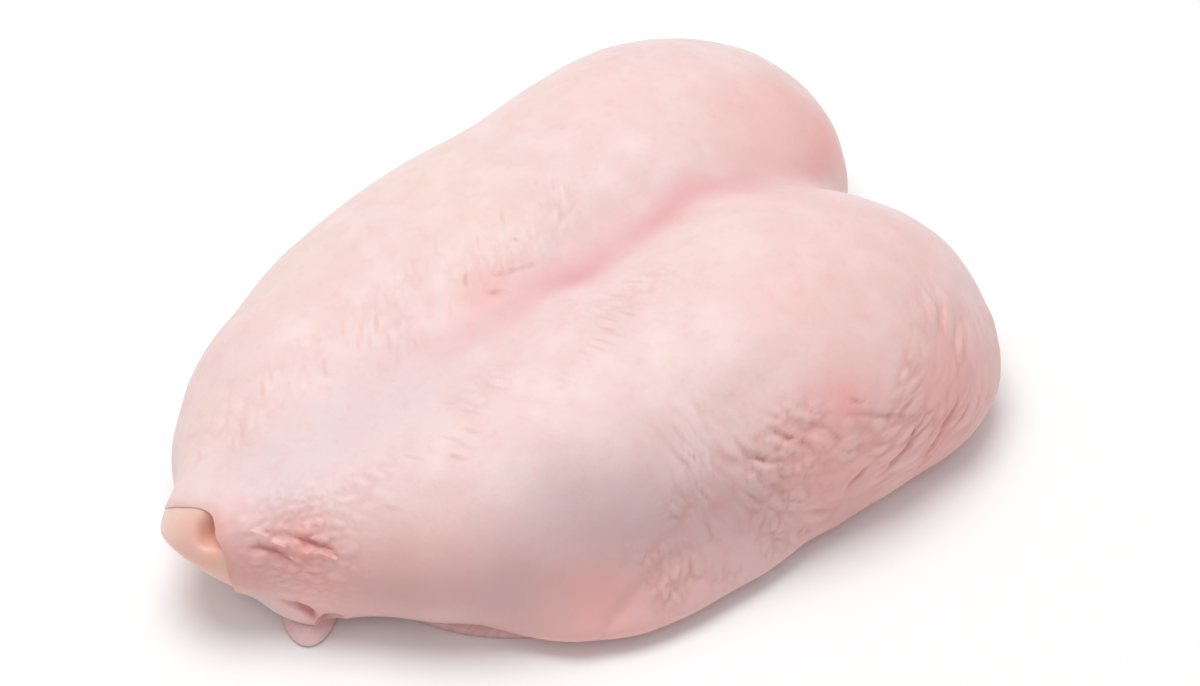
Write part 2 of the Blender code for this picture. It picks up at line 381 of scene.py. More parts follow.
def plucked(points):
    """How far the dashes that feathers left stand up."""
    from_middle = np.abs(points[:, 1])
    along = points[:, 0] * DASH_SLANT[0] + from_middle * DASH_SLANT[1]
    across = points[:, 0] * DASH_SLANT[1] - from_middle * DASH_SLANT[0]
    own = np.stack([along / DASH_LENGTH, across / DASH_WIDTH, points[:, 2] / DASH_LENGTH], axis=1)
    patches = smooth_step(-0.25, 0.6, noise(points, 10.0, 16))
    return DASH_HEIGHT * (leaves(own, 15) - 0.5) * feathered(points) * patches


# %% [markdown]
# A few folds are deep enough to be seen as lines, and each is traced, with its own depth and width. A real
# fold is never ruled: it wavers, and it thins out towards both ends, so the points are shifted a little by
# noise before their distance from the path is measured, and the line narrows with its fullness.

# %% Single folds
SHOULDER_FOLDS = traced(
    (0.88, 0.66, ((742, 450), (750, 457), (759, 460), (779, 463))),
    (0.80, 0.66, ((767, 430), (780, 434), (792, 440), (816, 450))),
    (0.48, 0.66, ((794, 420), (819, 427), (844, 442))),
    (0.40, 0.80, ((839, 411), (870, 414), (889, 416), (926, 417))),
    (0.44, 0.66, ((859, 443), (875, 444), (889, 443))),
    (1.04, 0.53, ((916, 422), (911, 445), (899, 457), (881, 477))),
    (1.16, 0.53, ((872, 463), (859, 479), (845, 493))),
    (0.76, 0.53, ((948, 392), (943, 420), (931, 435))),
    (0.96, 0.59, ((961, 395), (951, 417), (938, 440), (928, 455), (921, 469))),
    (0.36, 0.53, ((779, 482), (785, 497))),
    (0.40, 0.53, ((706, 515), (711, 528), (712, 545))),
    (0.36, 0.53, ((738, 522), (742, 530), (748, 536))),
    (0.36, 0.53, ((768, 520), (768, 529), (767, 532))),
    (0.28, 0.53, ((695, 474), (707, 492))),
    (0.18, 0.59, ((642, 420), (660, 435), (685, 465))),
    (0.16, 0.59, ((650, 410), (668, 425), (690, 450))),
    (0.52, 0.53, ((829, 394), (843, 396), (865, 400))),
)
TAIL_FOLDS = traced(
    (0.73, 0.66, ((258, 529), (274, 537), (290, 541))),
    (1.06, 0.73, ((280, 535), (300, 538), (314, 542), (330, 550), (339, 562))),
    (0.92, 0.79, ((247, 546), (262, 549), (272, 552), (292, 562))),
    (1.45, 0.99, ((282, 601), (295, 604), (313, 613), (325, 616))),
)
VALLEY_FOLDS = traced(
    (0.59, 0.59, ((496, 276), (515, 272), (535, 266))),
    (0.43, 0.53, ((485, 292), (496, 292), (511, 291))),
    (0.40, 0.53, ((464, 287), (466, 274))),
    (0.46, 0.46, ((512, 235), (521, 240))),
)
FLAP_FOLD = traced((1.10, 2.3, ((600, 640), (612, 622), (628, 602), (645, 585), (665, 562), (690, 548))))
SKIN_RIDGES = traced(
    (1.15, 1.0, ((239, 523), (244, 527), (259, 537), (284, 546), (303, 550), (322, 552), (337, 563))),
    (0.50, 1.0, ((341, 548), (357, 557))),
    (0.55, 1.6, ((255, 554), (265, 564))),
    (0.50, 1.5, ((286, 533), (309, 536))),
    (0.45, 0.9, ((290, 607), (300, 612), (310, 618))),
    (0.50, 1.6, ((660, 590), (683, 566), (703, 549))),
)
WIDE_SWELL = 0.30
SMALL_SWELL = 0.12
WING_END_SWELL = 0.50
HEM_SWELL = 0.90
PATCH_HEIGHT = 0.30
VALLEY_PATCH = (-10.5, 6.0, 41.6)
ROLL_HOLLOW = (-73.6, -25.8, 5.6)


def stroke(points, width, path):
    """1 along the middle of a line through the path, thinner towards its two ends."""
    stops = [np.array(stop) for stop in path]
    lengths = [np.linalg.norm(end - start) for start, end in zip(stops[:-1], stops[1:])]
    nearest = np.full(len(points), np.inf)
    share = np.zeros(len(points))
    done = 0.0
    for start, end, length in zip(stops[:-1], stops[1:], lengths):
        reached = np.clip((points - start) @ (end - start) / length**2, 0.0, 1.0)
        apart = np.linalg.norm(points - start - reached[:, None] * (end - start), axis=1)
        share = np.where(apart < nearest, (done + reached * length) / sum(lengths), share)
        nearest = np.minimum(nearest, apart)
        done += length
    fullness = np.sqrt(np.sin(pi * np.clip(share, 0.04, 0.96)))
    return fullness * np.exp(-((nearest / (width * (0.45 + 0.55 * fullness))) ** 2))


def strokes(points, lines):
    """The deepest of several lines at each point, in millimetres."""
    depth = np.zeros(len(points))
    for deepest, width, path in lines:
        depth = np.maximum(depth, deepest * stroke(points, width, path))
    return depth


def wavered(points):
    """The points shifted a little by noise, so that a line measured from them wavers."""
    wide = np.stack([noise(points, 4.5, seed) for seed in (51, 52, 53)], axis=1)
    fine = np.stack([noise(points, 1.7, seed) for seed in (54, 55, 56)], axis=1)
    return points + 0.8 * wide + 0.35 * fine


def relief(points):
    """How far the skin stands out from the smooth form, in millimetres."""
    height = WIDE_SWELL * noise(points, 17.0, 1) + SMALL_SWELL * noise(points, 6.0, 2)
    wing_end = smooth_step(58.0, 72.0, points[:, 0]) * smooth_step(-32.0, -48.0, points[:, 1])
    height += WING_END_SWELL * noise(points, 6.5, 8) * wing_end
    hem = smooth_step(-48.0, -62.0, points[:, 1]) * smooth_step(16.0, 8.0, points[:, 2])
    height += HEM_SWELL * noise(points, 11.0, 9) * hem
    height += ripples(points) + cells(points) + gathers(points) + plucked(points)
    shaken = wavered(points)
    height += strokes(shaken, SKIN_RIDGES)
    for folds in (SHOULDER_FOLDS, TAIL_FOLDS, VALLEY_FOLDS, FLAP_FOLD):
        height -= strokes(shaken, folds)
    height += PATCH_HEIGHT * near_spot(points, VALLEY_PATCH, 4.5)
    return height * smooth_step(0.5, 4.0, points[:, 2])


# %% [markdown]
# The skin's mesh is cast from its field. Rays leave a point inside the breast and spread over a dome. Each
# ray is halved again and again until it meets the surface, and the point found moves out or in by the
# wrinkles. The dome's rings are spaced so that the quads on top and down the side come out the same size,
# because the wrinkles lie low on the side, where a plain sphere of rays would waste its points elsewhere.

# %% Cast a field as a mesh
SKIN_HEART = (0.0, 0.0, 20.0)
SKIN_STRETCH = (100.0, 72.0, 32.0)
SKIN_LAST_ANGLE = 125.0
SKIN_STEPS = 350
FARTHEST = 4.0
HALVINGS = 17
CLOSING_RINGS = (0.7, 0.35)


def dome(steps, stretch, last_angle):
    """Rays over a dome from a square grid, their quads and the grid points along the dome's rim."""
    line = np.linspace(-1, 1, steps + 1)
    u, v = (grid.ravel() for grid in np.meshgrid(line, line, indexing="ij"))
    across = u * np.sqrt(1 - v**2 / 2)
    along = v * np.sqrt(1 - u**2 / 2)
    reach = np.hypot(across, along)
    angles = np.radians(np.linspace(0, last_angle, 400))
    wide = (stretch[0] + stretch[1]) / 2
    arc = np.cumsum(np.hypot(wide * np.cos(angles), stretch[2] * np.sin(angles)))
    angle = np.interp(reach * arc[-1], arc, angles)
    reach = np.maximum(reach, TINY)
    rays = np.stack([np.sin(angle) * across / reach, np.sin(angle) * along / reach, np.cos(angle)], axis=1)
    index = np.arange((steps + 1) ** 2).reshape(steps + 1, steps + 1)
    quads = np.stack([index[:-1, :-1], index[1:, :-1], index[1:, 1:], index[:-1, 1:]], axis=-1).reshape(-1, 4)
    rim = np.concatenate([index[:-1, 0], index[-1, :-1], index[:0:-1, -1], index[0, :0:-1]])
    return rays * np.array(stretch), quads, rim


def surface_points(field, heart, rays, farthest, halvings=HALVINGS):
    """Where rays from heart leave the field."""
    near = np.zeros(len(rays))
    far = np.full(len(rays), farthest)
    for _ in range(halvings):
        middle = (near + far) / 2
        inside = field(heart + rays * middle[:, None]) < 0
        near = np.where(inside, middle, near)
        far = np.where(inside, far, middle)
    return heart + rays * near[:, None]


def facings(field, points, step=0.15):
    """Which way the field's surface faces at each point."""
    slopes = [field(points + move) - field(points - move) for move in step * np.eye(3)]
    slopes = np.stack(slopes, axis=1)
    return slopes / np.maximum(np.linalg.norm(slopes, axis=1, keepdims=True), TINY)


def mesh_from(name, points, faces):
    """A closed mesh in the frame's metres, with its faces turned outwards."""
    mesh = bpy.data.meshes.new(name)
    mesh.from_pydata(to_frame(points).tolist(), [], faces)
    turned = bmesh.new()
    turned.from_mesh(mesh)
    bmesh.ops.recalc_face_normals(turned, faces=turned.faces[:])
    turned.to_mesh(mesh)
    turned.free()
    return mesh


def cast(name, field, heart, stretch, last_angle, steps, height=None):
    """A mesh of the field's surface with a relief of that height on it, closed under the dome's rim."""
    rays, quads, rim = dome(steps, stretch, last_angle)
    points = surface_points(field, np.array(heart), rays, FARTHEST)
    if height is not None:
        points = points + facings(field, points) * height(points)[:, None]
    hub = points[rim].mean(axis=0)
    rings = [hub + (points[rim] - hub) * share for share in CLOSING_RINGS]
    faces = quads.tolist()
    outer = rim
    start = len(points)
    for ring in rings:
        inner = np.arange(start, start + len(ring))
        faces += np.stack([outer, np.roll(outer, -1), np.roll(inner, -1), inner], axis=1).tolist()
        outer = inner
        start += len(ring)
    faces += [[a, b, start] for a, b in zip(outer.tolist(), np.roll(outer, -1).tolist())]
    points = np.concatenate([points, *rings, hub[None]])
    print(name, len(points), "points")
    return mesh_from(name, points, faces)


# %% [markdown]
# Under the skin the bare flesh of the rib side fills the underside. It shows in two places: a small tongue
# at the near corner of the tail and a thin strip under the hem of the skin. It is a low slab, so a stack of
# outlines suits it better than a dome, and its underside is drawn in rings that carry the muscle's grain.

# %% Stack a field as a slab
FLESH_HEART = (-53.0, 5.0)
FLESH_REACH = 200.0
FLESH_LEVELS = (0.0, 0.5, 1.1, 1.8, 2.6, 3.4, 4.2, 5.0, 5.7, 6.2)
FLESH_BEARINGS = 520
FLESH_HALVINGS = 20
FLESH_RINGS = 60
GRAIN_START = 150.0
STRAND_SPACING = 2.6
GRAIN_DEPTH = 0.35
tongue = lump((-70.6, -14.2, 1.0), (14.8, 6.8, 4.0), 55.0)
ledge = lump((-38.3, -35.6, 0.6), (26.0, 14.0, 4.2), -47.0)
flesh_form = union(3.0, grown(breast_form, -7.5), tongue, ledge)


def grain(points):
    """How far the muscle's grain is sunk into the underside. It runs out from the tail."""
    bearing = np.arctan2(points[:, 1], points[:, 0] + GRAIN_START) * GRAIN_START
    strand = np.abs(np.sin(bearing / STRAND_SPACING + 1.4 * noise(points, 14.0, 21)))
    bundle = smooth_step(0.0, 0.5, strand)
    return GRAIN_DEPTH * (1 - bundle) * smooth_step(-0.4, 0.3, noise(points, 11.0, 22))


def stack(name, field, margin=0.0, rings=1, sunk=None):
    """A mesh of a low slab from its outline at each level, with rings across its underside."""
    bearings = np.arange(FLESH_BEARINGS) * 2 * pi / FLESH_BEARINGS
    rays = np.stack([np.cos(bearings), np.sin(bearings), np.zeros(FLESH_BEARINGS)], axis=1)
    outlines = []
    for level in FLESH_LEVELS:
        hub = np.array([*FLESH_HEART, level])
        outlines.append(surface_points(field, hub, rays, FLESH_REACH, FLESH_HALVINGS))
    outlines[0][:, 2] -= margin
    outlines[-1][:, 2] += margin
    low_hub = np.array([*FLESH_HEART, outlines[0][0, 2]])
    high_hub = np.array([*FLESH_HEART, outlines[-1][0, 2]])
    low = [low_hub + (outlines[0] - low_hub) * (step / rings) for step in range(1, rings)]
    levels = [*low, *outlines]
    points = np.concatenate([low_hub[None], *levels, high_hub[None]])
    if sunk is not None:
        under = points[:, 2] < 0.01
        edge = smooth_step(0.5, 3.0, -field(points[under]))
        points[under, 2] += sunk(points[under]) * edge
    faces = []
    for row in range(len(levels) - 1):
        lower = 1 + row * FLESH_BEARINGS + np.arange(FLESH_BEARINGS)
        upper = lower + FLESH_BEARINGS
        faces += np.stack([lower, np.roll(lower, -1), np.roll(upper, -1), upper], axis=1).tolist()
    first = (1 + np.arange(FLESH_BEARINGS)).tolist()
    last = (len(points) - 1 - FLESH_BEARINGS + np.arange(FLESH_BEARINGS)).tolist()
    faces += [[b, a, 0] for a, b in zip(first, first[1:] + first[:1])]
    faces += [[a, b, len(points) - 1] for a, b in zip(last, last[1:] + last[:1])]
    print(name, len(points), "points")
    return mesh_from(name, points, faces)


# %% [markdown]
# At the very tail the skin stops round a small window, and the gristle at the end of the breastbone shows
# in it, peach-coloured and dimpled. The window is cut out of the skin as a Boolean, so its rim shows the
# skin's thickness. The gristle is a lump of its own that sits a little lower and runs on under the rim, as
# it does on the bird, so no gap can open between the two.

# %% The window and the gristle in it
WINDOW_PEAK = (-85.0, -3.0, 27.8)
near_edge = grown(behind(WINDOW_PEAK, (0.43, -0.70, 0.57)), 3.3)
far_edge = grown(behind(WINDOW_PEAK, (0.42, 0.58, 0.70)), 0.3)
window = common(2.0, lump((-95.5, -1.0, 16.5), (14.4, 14.4, 17.2)), near_edge, far_edge)
dimple = lump((-88.3, -7.4, 27.6), (3.7, 2.7, 3.6))
under_side = behind((-93.2, -3.8, 17.6), (-0.80, -0.12, -0.58))
gristle_lump = common(2.5, grown(breast_form, -0.20), under_side)
gristle_form = common(3.2, common(0.5, gristle_lump, grown(window, 1.2)), outside(dimple))
TIP_HEART = (-89.0, -1.5, 19.0)
TIP_STRETCH = (8.0, 10.0, 12.0)
TIP_LAST_ANGLE = 172.0
TIP_STEPS = 110
ROOM_STEPS = 60


def ragged(field, amount):
    """The same form with an edge that wavers a little, as torn skin does."""
    return lambda points: field(points) + amount * noise(points, 3.0, 31)


def gristle_relief(points):
    return 0.08 * noise(points, 4.0, 32) + 0.04 * noise(points, 1.6, 33)


# %% [markdown]
# Cutting is quickest on whole objects: the skin gets one Boolean for each room, the result is taken as a new
# mesh, and the cutting forms are thrown away. The clearance round the flesh is only a hair, so the skin
# seems to lie on it.

# %% Make the three pieces
CLEARANCE = 0.15
RAGGED = 0.4
SHARP_ANGLE = radians(55)


def place(name, data):
    """A new object in the scene, made from a mesh, a lamp or a lens."""
    made = bpy.data.objects.new(name, data)
    bpy.context.scene.collection.objects.link(made)
    return made


def carve(body, tools):
    """Cuts the tools out of the body for good."""
    for tool in tools:
        cut = body.modifiers.new(tool.name, "BOOLEAN")
        cut.operation = "DIFFERENCE"
        cut.solver = "MANIFOLD"
        cut.object = tool
    graph = bpy.context.evaluated_depsgraph_get()
    carved = bpy.data.meshes.new_from_object(body.evaluated_get(graph))
    body.modifiers.clear()
    body.data = carved
    for tool in tools:
        bpy.data.objects.remove(tool)


skin = place("skin", cast("skin", skin_field, SKIN_HEART, SKIN_STRETCH, SKIN_LAST_ANGLE, SKIN_STEPS, relief))
flesh = place("flesh", stack("flesh", flesh_form, rings=FLESH_RINGS, sunk=grain))
tip_shape = cast("gristle", gristle_form, TIP_HEART, TIP_STRETCH, TIP_LAST_ANGLE, TIP_STEPS, gristle_relief)
gristle = place("gristle", tip_shape)
flesh_room = place("flesh_room", stack("flesh_room", grown(flesh_form, CLEARANCE), CLEARANCE))
room_shape = cast("window_room", ragged(window, RAGGED), TIP_HEART, TIP_STRETCH, TIP_LAST_ANGLE, ROOM_STEPS)
window_room = place("window_room", room_shape)
carve(skin, [window_room, flesh_room])
for piece in (skin, flesh, gristle):
    piece.data.shade_smooth()
    piece.data.set_sharp_from_angle(angle=SHARP_ANGLE)
    print(piece.name, len(piece.data.polygons), "faces")

# %% [markdown]
# Chicken skin is thin enough for what lies under it to tint it: fat makes it cream, muscle rose and a thin
# stretched place lilac. Some layers are painted light and shade instead: painted shade on the near side and
# round the tail, darker and redder skin low on both sides that is partly its own tone and partly painted
# shade, dark red painted shade in the folds, in the hollow under the roll and in the grooves of the wrinkles,
# and a painted highlight on their crests. These tints are places, not patterns, so they are worked out at
# each point of the mesh and kept as named layers that the material reads.

# %% Tints of the skin
ROSE_SPOTS = (
    (0.72, 16.0, (62.0, -67.0, 24.0)),
    (0.20, 12.0, (72.0, -60.0, 34.0)),
    (0.70, 16.0, (30.0, -69.0, 25.0)),
    (0.55, 12.0, (-30.0, -60.0, 15.0)),
    (0.36, 13.0, (-53.0, -44.0, 26.0)),
    (0.50, 13.0, (-66.0, -36.0, 19.0)),
    (0.60, 11.0, (-76.0, -24.0, 19.0)),
    (0.65, 7.0, (-86.3, -12.0, 25.3)),
    (0.50, 6.0, (-86.3, -15.1, 20.1)),
    (0.50, 12.0, (-19.0, -66.0, 12.0)),
    (0.60, 7.0, (38.0, -64.5, 36.5)),
    (0.80, 10.0, (93.0, 7.0, 29.0)),
    (0.45, 12.0, (90.0, 15.0, 37.0)),
    (0.45, 14.0, (75.0, 12.0, 43.0)),
    (0.30, 16.0, (45.0, -45.0, 45.0)),
    (0.65, 6.0, (-76.0, -21.0, 26.5)),
    (0.50, 6.0, (-7.0, 6.0, 41.8)),
    (0.30, 14.0, (75.0, -40.0, 42.0)),
    (0.22, 13.0, (62.0, -17.0, 47.0)),
    (0.16, 14.0, (52.0, 34.0, 48.5)),
    (0.20, 8.0, (-82.0, -9.0, 30.5)),
)
# Painted shade: spots of darker, greyer skin where the near side and the tail turn away from the light.
PAINTED_SHADE_SPOTS = (
    (0.50, 12.0, (-24.0, -53.0, 32.0)),
    (0.50, 12.0, (-10.0, -60.0, 28.0)),
    (0.45, 10.0, (2.0, -64.5, 25.0)),
    (0.50, 9.0, (14.0, -68.0, 20.0)),
    (0.70, 13.0, (-45.0, -52.0, 20.0)),
    (0.70, 13.0, (-63.0, -38.0, 17.0)),
    (0.60, 9.0, (-85.0, -14.0, 20.0)),
    (0.35, 9.0, (32.0, -71.0, 12.0)),
)
LILAC_SPOTS = (
    (0.8, 11.0, (-72.0, -4.0, 32.5)),
    (0.7, 11.0, (-55.0, -5.0, 36.0)),
    (0.5, 12.0, (-36.0, -8.0, 39.0)),
    (0.5, 10.0, (-28.0, -50.0, 34.0)),
    (0.5, 10.0, (-14.0, -58.0, 29.0)),
    (0.4, 9.0, (-16.0, -70.0, 8.0)),
    (0.4, 12.0, (8.0, -71.0, 8.0)),
)
CREAM_SPOTS = (
    (0.7, 14.0, (-33.0, 42.0, 37.0)),
    (0.7, 14.0, (4.0, 45.0, 43.0)),
    (0.6, 14.0, (43.0, 48.0, 45.0)),
    (0.5, 12.0, (0.0, 20.0, 46.0)),
    (0.5, 12.0, (35.0, -20.0, 48.0)),
    (0.5, 10.0, (-70.0, 16.0, 30.0)),
)
VALLEY = on_skin(((370, 385), (450, 340), (570, 272), (686, 201), (820, 175)))
SLACK_STRETCH = (-34.0, -6.0, 72.0, 90.0)
VALLEY_WIDTH = 6.0
VALLEY_X = (-46.0, -30.0, -12.0, 0.0, 10.0, 24.0, 40.0, 50.0, 64.0, 84.0, 96.0)
VALLEY_FLUSH = (0.0, 0.22, 0.40, 0.60, 0.95, 0.55, 0.90, 0.80, 0.50, 0.55, 0.60)


def in_own_millimetres(mesh):
    """A mesh's points, back in the millimetres that the forms are laid out in."""
    points = np.empty(len(mesh.vertices) * 3)
    mesh.vertices.foreach_get("co", points)
    return points.reshape(-1, 3) / MM - CENTRING


def keep_layer(mesh, name, values):
    """Keeps one value for each point of the mesh under that name."""
    layer = mesh.attributes.new(name, "FLOAT", "POINT")
    layer.data.foreach_set("value", values.astype(np.float32))
    print("layer", name, "from", round(float(values.min()), 2), "to", round(float(values.max()), 2))


def tinted(points, spots):
    """The sum of soft spots at each point, up to 1."""
    total = np.zeros(len(points))
    for strength, spread, spot in spots:
        total += strength * near_spot(points, spot, spread)
    return np.clip(total, 0.0, 1.0)


skin_points = in_own_millimetres(skin.data)
wavering = skin_points + 3.0 * np.stack([noise(skin_points, 12.0, seed) for seed in (41, 42, 43)], axis=1)
TINT_SPOTS = {"rose": ROSE_SPOTS, "lilac": LILAC_SPOTS, "cream": CREAM_SPOTS, "painted_shade": PAINTED_SHADE_SPOTS}
for tint, spots in TINT_SPOTS.items():
    keep_layer(skin.data, tint, tinted(wavering, spots))
flush = np.interp(skin_points[:, 0], VALLEY_X, VALLEY_FLUSH)
keep_layer(skin.data, "valley", flush * np.exp(-((near_path(wavering, VALLEY) / VALLEY_WIDTH) ** 2)))
# Low on both sides the skin is painted darker and redder: partly its own tone, partly painted shade where the
# sides turn from the light.
low_side = smooth_step(40.0, 6.0, skin_points[:, 2]) * smooth_step(20.0, 60.0, np.abs(skin_points[:, 1]))
keep_layer(skin.data, "low_side", low_side)
shaken_points = wavered(skin_points)
every_fold = (*SHOULDER_FOLDS, *TAIL_FOLDS, *VALLEY_FOLDS)
# Painted shade: darker and redder along the traced folds and in the hollow under the roll.
fold_shade_mask = 1.1 * strokes(shaken_points, every_fold) + near_spot(skin_points, ROLL_HOLLOW, 2.8)
keep_layer(skin.data, "fold_shade", np.clip(fold_shade_mask, 0.0, 1.0))
near_side = smooth_step(-46.0, -60.0, skin_points[:, 1]) * smooth_step(2.0, 9.0, skin_points[:, 2])
slack = near_side * band(skin_points[:, 0], *SLACK_STRETCH) * (1 - smooth_step(34.0, 44.0, skin_points[:, 2]))
keep_layer(skin.data, "slack", np.clip(slack + near_spot(skin_points, TAIL_GATHER, 11.0), 0.0, 1.0))
window_edge = np.abs(window(skin_points))
keep_layer(skin.data, "rim", 1 - smooth_step(0.3, 2.2, window_edge))
# Painted shade in the grooves of the wrinkles, and a painted highlight on their crests and on the raised
# ridges.
wrinkles = ripples(skin_points) + cells(skin_points) + gathers(skin_points) + plucked(skin_points)
keep_layer(skin.data, "groove_shade", np.clip(-3.2 * wrinkles, 0.0, 1.0))
keep_layer(skin.data, "crest_highlight", np.clip(4.0 * wrinkles + strokes(shaken_points, SKIN_RIDGES), 0.0, 1.0))
keep_layer(skin.data, "tract", feathered(skin_points))

# %% [markdown]
# A material is a small calculation, so it reads best as one. The class below wraps a socket of the node
# tree: adding or multiplying two of them adds a Math node, and any other node comes from one method that
# takes its kind, its settings and what goes into its sockets.


# %% Shader maths in Python
class Look:
    """A socket of a material's node tree that can be used in expressions."""

    def __init__(self, tree, socket=None):
        self.tree = tree
        self.socket = socket

    def node(self, kind, settings=None, sockets=None, give=0):
        """Adds a node, sets it up, fills its sockets and gives the output asked for."""
        made = self.tree.nodes.new(kind)
        for name, value in (settings or {}).items():
            setattr(made, name, value)
        for name, value in (sockets or {}).items():
            if isinstance(value, Look):
                self.tree.links.new(value.socket, made.inputs[name])
            else:
                made.inputs[name].default_value = value
        return Look(self.tree, made.outputs[give] if made.outputs else None)

    def math(self, operation, first, second=0.0):
        return self.node("ShaderNodeMath", {"operation": operation}, {0: first, 1: second})

    def __add__(self, other):
        return self.math("ADD", self, other)

    def __radd__(self, other):
        return self.math("ADD", other, self)

    def __sub__(self, other):
        return self.math("SUBTRACT", self, other)

    def __rsub__(self, other):
        return self.math("SUBTRACT", other, self)

    def __mul__(self, other):
        return self.math("MULTIPLY", self, other)

    def layer(self, name):
        """A layer kept on the mesh."""
        return self.node("ShaderNodeAttribute", {"attribute_name": name}, give="Fac")

    def part(self, axis):
        """One coordinate of a place: 0 for x, 1 for y, 2 for z."""
        return self.node("ShaderNodeSeparateXYZ", {}, {0: self}, axis)

    def stretched(self, by):
        return self.node("ShaderNodeVectorMath", {"operation": "MULTIPLY"}, {0: self, 1: by})

    def speckle(self, size, detail=2.0, roughness=0.5):
        """Soft noise from 0 to 1 with patches of that many millimetres."""
        sockets = {"Vector": self, "Scale": 1.0 / (size * MM), "Detail": detail, "Roughness": roughness}
        return self.node("ShaderNodeTexNoise", {}, sockets)

    def nearest_dot(self, spacing):
        """The distance to the nearest of scattered dots, in their mean spacing."""
        sockets = {"Vector": self, "Scale": 1 / spacing}
        return self.node("ShaderNodeTexVoronoi", {"feature": "F1"}, sockets, "Distance")

    def between(self, low, high):
        """A soft step from 0 at low to 1 at high."""
        settings = {"interpolation_type": "SMOOTHSTEP"}
        return self.node("ShaderNodeMapRange", settings, {"Value": self, "From Min": low, "From Max": high})

    def shade(self, first, second):
        """The first colour where this value is 0 and the second where it is 1."""
        return self.node("ShaderNodeMix", {"data_type": "RGBA"}, {0: self, 6: first, 7: second}, 2)

    def bump(self, strength, depth):
        """A normal from this value taken as a height. The depth is in millimetres."""
        return self.node("ShaderNodeBump", {}, {"Strength": strength, "Distance": depth * MM, "Height": self})


def tone(red, green, blue):
    """A colour given as a screen shows it, in the linear values that the nodes take."""
    parts = [part / 255 for part in (red, green, blue)]
    return (*[part / 12.92 if part < 0.04045 else ((part + 0.055) / 1.055) ** 2.4 for part in parts], 1.0)


def new_material(name):
    """A material with an empty node tree, and a start for expressions in that tree."""
    made = bpy.data.materials.new(name)
    made.use_nodes = True
    made.node_tree.nodes.clear()
    return made, Look(made.node_tree)


def finish_material(look, sockets):
    shader = look.node("ShaderNodeBsdfPrincipled", {"subsurface_method": "RANDOM_WALK"}, sockets)
    look.node("ShaderNodeOutputMaterial", {}, {"Surface": shader})


# %% [markdown]
# The skin is pale and moist. Light goes a few millimetres into it before it comes out, which softens every
# shadow on it, so its subsurface does more for it than any picture could. Over that come the tints, some of
# them painted shade and highlights, fine blotches, the short dashes that feathers left, a little darker in
# part as painted shade of their pits, painted shade in the fine creases, and a satin wetness that never turns
# into sharp glints.

# %% The skin's material
TINTS = (
    ("cream", 0.70, (242, 216, 205)),
    # Partly the skin's own redder tone and partly painted shade, low on both sides.
    ("low_side", 0.70, (230, 179, 175)),
    ("rose", 0.75, (243, 170, 164)),
    ("lilac", 0.70, (225, 206, 211)),
    # Painted shade on the near side and round the tail.
    ("painted_shade", 0.65, (188, 150, 152)),
    ("valley", 0.80, (224, 154, 161)),
    # Painted light and shade: a highlight on the crests of the wrinkles and ridges, shade in the wrinkles'
    # grooves.
    ("crest_highlight", 0.25, (240, 200, 194)),
    ("groove_shade", 0.30, (212, 140, 134)),
    # Painted shade, dark red, in the folds and in the hollow under the roll.
    ("fold_shade", 0.70, (198, 112, 104)),
    ("rim", 0.45, (230, 164, 146)),
)
skin_material, look = new_material("skin")
place_on_skin = look.node("ShaderNodeTexCoord", give="Object")
blotch = place_on_skin.speckle(9.0, 3.0)
fleck = place_on_skin.speckle(3.0, 3.0, 0.6)
colour = blotch.between(0.35, 0.7).shade(tone(237, 208, 205), tone(241, 216, 214))
for tint, strength, tint_tone in TINTS:
    colour = (look.layer(tint) * strength).shade(colour, tone(*tint_tone))
colour = (fleck.between(0.50, 0.72) * 0.12).shade(colour, tone(226, 160, 152))

# %% Dashes that feathers left
MARK_SLANT = (0.5, 0.87)
MARKS_PER_METRE = (85.0, 420.0, 100.0)
FAR_HALF_SHIFT = 7.3
x = place_on_skin.part(0)
y = place_on_skin.part(1)
z = place_on_skin.part(2)
from_middle = y.math("ABSOLUTE", y)
along_dash = (x * MARK_SLANT[0] + from_middle * MARK_SLANT[1]) * MARKS_PER_METRE[0]
across_dash = (x * MARK_SLANT[1] - from_middle * MARK_SLANT[0]) * MARKS_PER_METRE[1]
far_half = y.math("GREATER_THAN", y, 0.0)
height_in_marks = z * MARKS_PER_METRE[2] + far_half * FAR_HALF_SHIFT
dash_place = look.node("ShaderNodeCombineXYZ", {}, {0: along_dash, 1: across_dash, 2: height_in_marks})
dash_cell = dash_place.nearest_dot(1.0)
dash = (1 - dash_cell.between(0.10, 0.30)) * look.layer("tract") * (1 - look.layer("lilac") * 0.8)
# The dashes are painted a little darker and browner: partly their own tint, partly painted shade of their
# pits.
colour = (dash * 0.25).shade(colour, tone(218, 166, 150))

# %% Fine creases where the skin is slack
CREASE_SPACING = 4.5 * MM
slack = look.layer("slack")
crease_place = place_on_skin.stretched((1.0, 1.0, 0.7))
crease = look.node(
    "ShaderNodeTexNoise",
    {"noise_type": "RIDGED_MULTIFRACTAL"},
    {
        "Vector": crease_place,
        "Scale": 1 / CREASE_SPACING,
        "Detail": 2.0,
        "Roughness": 0.55,
        "Distortion": 0.7,
    },
)
# Painted shade in the grooves of the fine creases.
crease_shade = crease.between(0.75, 1.5) * slack
colour = (crease_shade * 0.35).shade(colour, tone(198, 134, 128))

# %% Wetness and fine relief
PORE_SPACING = 1.9 * MM
grain_bump = place_on_skin.speckle(0.7, 2.0)
pores = place_on_skin.nearest_dot(PORE_SPACING)
skin_height = grain_bump * 0.35 + pores * 0.30 + dash * 0.5 + blotch * 0.5 - crease * slack * 2.2
finish_material(
    look,
    {
        "Base Color": colour,
        "Roughness": 0.44 + fleck * 0.12,
        "Subsurface Weight": 0.30,
        "Subsurface Radius": (1.0, 0.42, 0.30),
        "Subsurface Scale": 2.5 * MM,
        "Coat Weight": 0.05 + blotch * 0.10,
        "Coat Roughness": 0.30,
        "IOR": 1.40,
        "Normal": skin_height.bump(0.30, 0.35),
    },
)

# %% [markdown]
# Bare flesh is an even pink, and wetter than the skin. Fine pale threads between the bundles of muscle run
# the same way as the grain of the underside.

